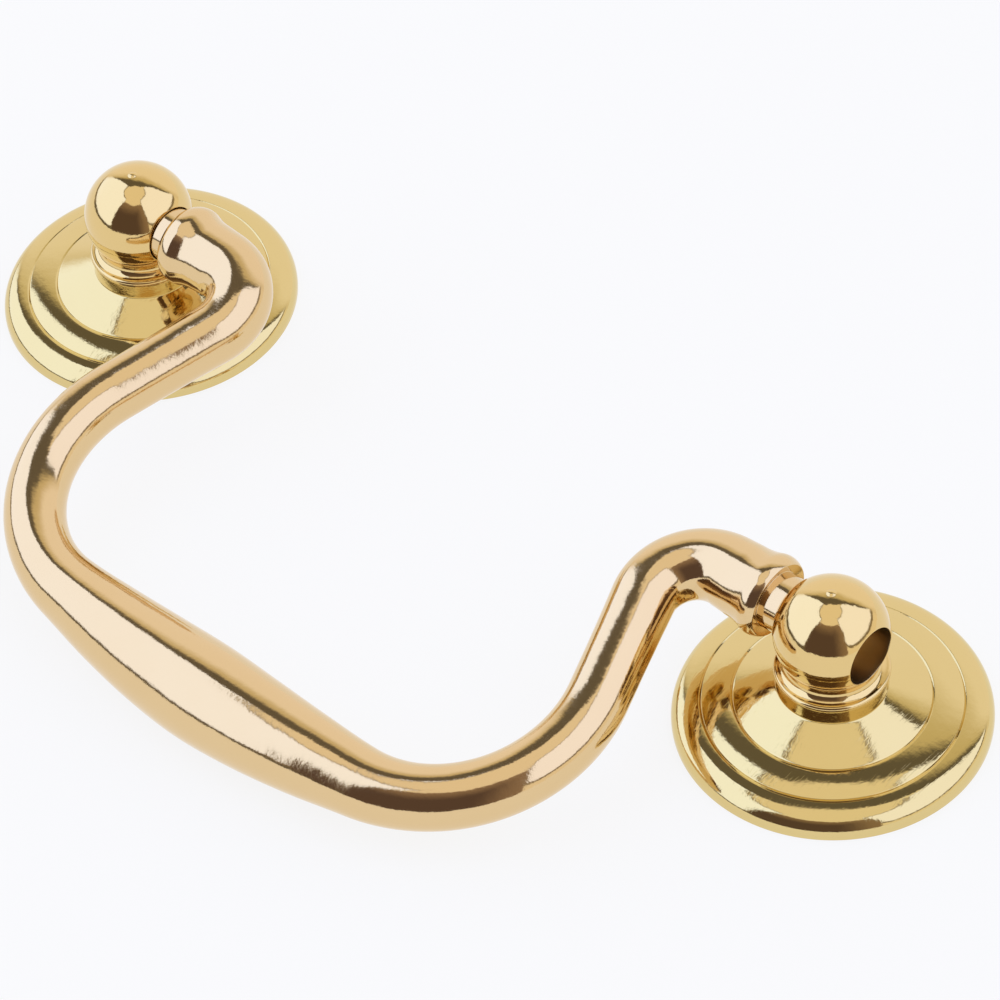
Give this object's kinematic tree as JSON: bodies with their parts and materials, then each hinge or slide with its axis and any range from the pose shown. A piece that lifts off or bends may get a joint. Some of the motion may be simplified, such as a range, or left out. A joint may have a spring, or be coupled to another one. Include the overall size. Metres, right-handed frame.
{
  "type": "bail pull",
  "caption": "Swan-neck bail handle of polished brass that swings between ball-headed posts on round stepped rosettes, screwed to a drawer front from behind.",
  "frame": {"origin": "midway between the screw holes, on the drawer front that the rosettes sit on", "axes": "+X along the swing axis towards the right post, +Z out of the drawer front, the bail lies towards -Y"},
  "size_m": [0.1018, 0.0492, 0.0146],
  "materials": {
    "rosette_brass": "polished, lemon yellow",
    "post_brass": "polished, warm",
    "bail_brass": "polished, warm"
  },
  "bodies": {
    "fixings": {"left_rosette": "rosette_brass", "right_rosette": "rosette_brass", "left_post": "post_brass", "right_post": "post_brass"},
    "bail": {"bail": "bail_brass"}
  },
  "joints": [
    {"name": "bail_swing", "type": "hinge", "parent": "fixings", "child": "bail", "pos_m": [0, 0, 0.00982], "axis": [-1, 0, 0], "range_deg": [0, 199.6]}
  ]
}
